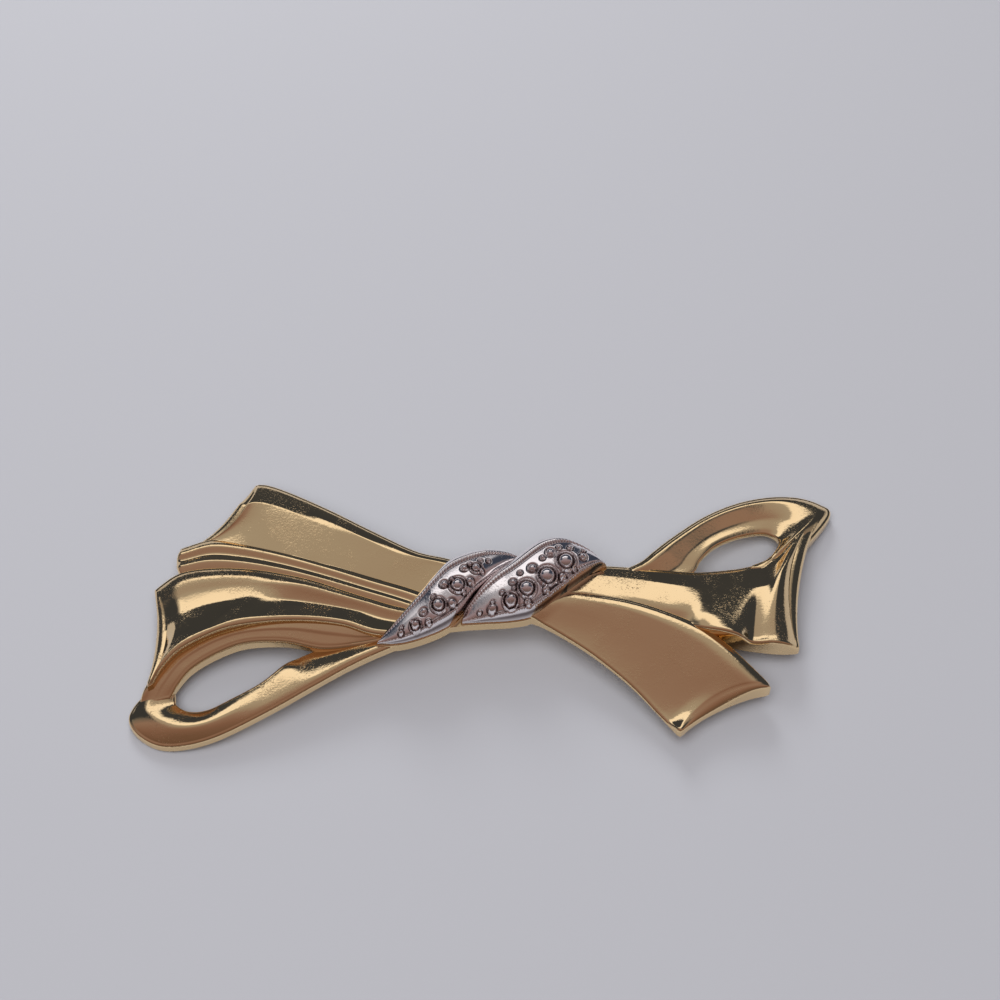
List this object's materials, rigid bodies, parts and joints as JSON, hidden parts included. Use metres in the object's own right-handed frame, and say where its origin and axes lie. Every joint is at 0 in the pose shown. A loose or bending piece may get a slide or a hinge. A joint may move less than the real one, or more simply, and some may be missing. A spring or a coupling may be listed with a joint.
{
  "type": "bow brooch",
  "caption": "Flat ribbon bow brooch in polished gold tone with open loops, pressed pleats and a crossed white-metal knot covered in raised rings and beads.",
  "frame": {"origin": "middle of the bow's outline, at the level of the surface it lies on", "axes": "+X along the bow to the right loop, +Y across it towards the left tail's side, +Z out of the front of the bow"},
  "size_m": [0.058, 0.0244, 0.0065],
  "materials": {
    "polished_gold": "mirror polished, with fine scratches",
    "white_metal": "bright plated, darkened in the hollows",
    "plain_gold": "plain plated"
  },
  "bodies": {
    "root": {"gold_bow": "polished_gold", "knot_leaf_left": "white_metal", "knot_leaf_right": "white_metal", "pin_back": "plain_gold"}
  },
  "joints": []
}
